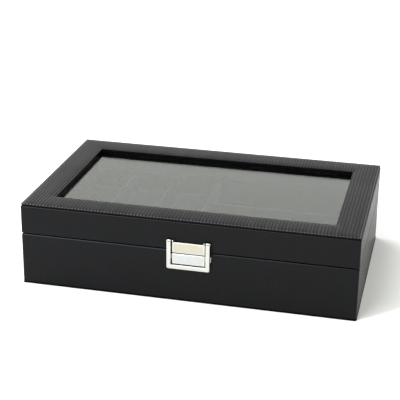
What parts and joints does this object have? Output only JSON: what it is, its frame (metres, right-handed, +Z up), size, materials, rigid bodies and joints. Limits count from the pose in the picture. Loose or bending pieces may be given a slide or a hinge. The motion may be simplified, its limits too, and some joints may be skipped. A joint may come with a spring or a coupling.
{
  "type": "watch box",
  "caption": "Low rectangular display box covered in black leather, with a framed glass window in its hinged lid, a U-shaped hasp latch, watch cushions and long glasses compartments.",
  "frame": {"origin": "centre of the underside, on the surface that the box stands on", "axes": "+X along the front towards its right-hand end, +Y from the latch side to the hinge side, +Z up"},
  "size_m": [0.3358, 0.2152, 0.0853],
  "materials": {
    "leather": "black, finely ribbed, satin",
    "felt": "black pressed felt",
    "board": "raw fibreboard",
    "velvet": "black short-pile velvet on card",
    "cushion": "black velvet over foam",
    "glass": "clear float glass",
    "card": "dark grey card",
    "nickel": "polished nickel plate",
    "steel": "plain bright steel"
  },
  "bodies": {
    "base": {"bottom_sheet": "felt", "base_bottom_board": "board", "base_front_board": "board", "base_back_board": "board", "base_left_board": "board", "base_right_board": "board", "base_leather_wrap": "leather", "floor_lining": "velvet", "base_lining_front": "velvet", "base_lining_back": "velvet", "base_lining_left": "velvet", "base_lining_right": "velvet", "divider_long": "velvet", "divider_watch_row": "velvet", "divider_watch_column_1": "velvet", "divider_watch_column_2": "velvet", "divider_glasses_1": "velvet", "divider_glasses_2": "velvet", "latch_catch_plate": "nickel", "hinge_leaf_lower_left": "nickel", "hinge_leaf_lower_right": "nickel", "hinge_pin_left": "steel", "hinge_pin_right": "steel", "hinge_screw_lower_left_1": "steel", "hinge_screw_lower_left_2": "steel", "hinge_screw_lower_right_1": "steel", "hinge_screw_lower_right_2": "steel"},
    "lid": {"lid_front_board": "board", "lid_back_board": "board", "lid_left_board": "board", "lid_right_board": "board", "lid_top_board": "board", "lid_leather_wrap": "leather", "lid_top_cover": "leather", "lid_lining_front": "velvet", "lid_lining_back": "velvet", "lid_lining_left": "velvet", "lid_lining_right": "velvet", "glass_retainer_frame": "velvet", "glass_pane": "glass", "glass_packing_frame": "card", "latch_lid_plate": "nickel", "hinge_leaf_upper_left": "nickel", "hinge_leaf_upper_right": "nickel", "latch_pin_left": "steel", "latch_pin_right": "steel", "hinge_screw_upper_left_1": "steel", "hinge_screw_upper_left_2": "steel", "hinge_screw_upper_right_1": "steel", "hinge_screw_upper_right_2": "steel"},
    "hasp": {"latch_hasp": "nickel"},
    "cushion_1": {"watch_cushion_1": "cushion"},
    "cushion_2": {"watch_cushion_2": "cushion"},
    "cushion_3": {"watch_cushion_3": "cushion"},
    "cushion_4": {"watch_cushion_4": "cushion"},
    "cushion_5": {"watch_cushion_5": "cushion"},
    "cushion_6": {"watch_cushion_6": "cushion"}
  },
  "joints": [
    {"name": "lid_hinge", "type": "hinge", "parent": "base", "child": "lid", "pos_m": [0, 0.10535, 0.054], "axis": [-1, 0, 0], "range_deg": [0, 100]},
    {"name": "hasp_hinge", "type": "hinge", "parent": "lid", "child": "hasp", "pos_m": [0.0038, -0.1056, 0.0642], "axis": [-1, 0, 0], "range_deg": [0, 150]},
    {"name": "cushion_lift_1", "type": "slide", "parent": "base", "child": "cushion_1", "axis": [0, 0, 1], "range_m": [0, 0.025]},
    {"name": "cushion_lift_2", "type": "slide", "parent": "base", "child": "cushion_2", "axis": [0, 0, 1], "range_m": [0, 0.025]},
    {"name": "cushion_lift_3", "type": "slide", "parent": "base", "child": "cushion_3", "axis": [0, 0, 1], "range_m": [0, 0.025]},
    {"name": "cushion_lift_4", "type": "slide", "parent": "base", "child": "cushion_4", "axis": [0, 0, 1], "range_m": [0, 0.025]},
    {"name": "cushion_lift_5", "type": "slide", "parent": "base", "child": "cushion_5", "axis": [0, 0, 1], "range_m": [0, 0.025]},
    {"name": "cushion_lift_6", "type": "slide", "parent": "base", "child": "cushion_6", "axis": [0, 0, 1], "range_m": [0, 0.025]}
  ]
}
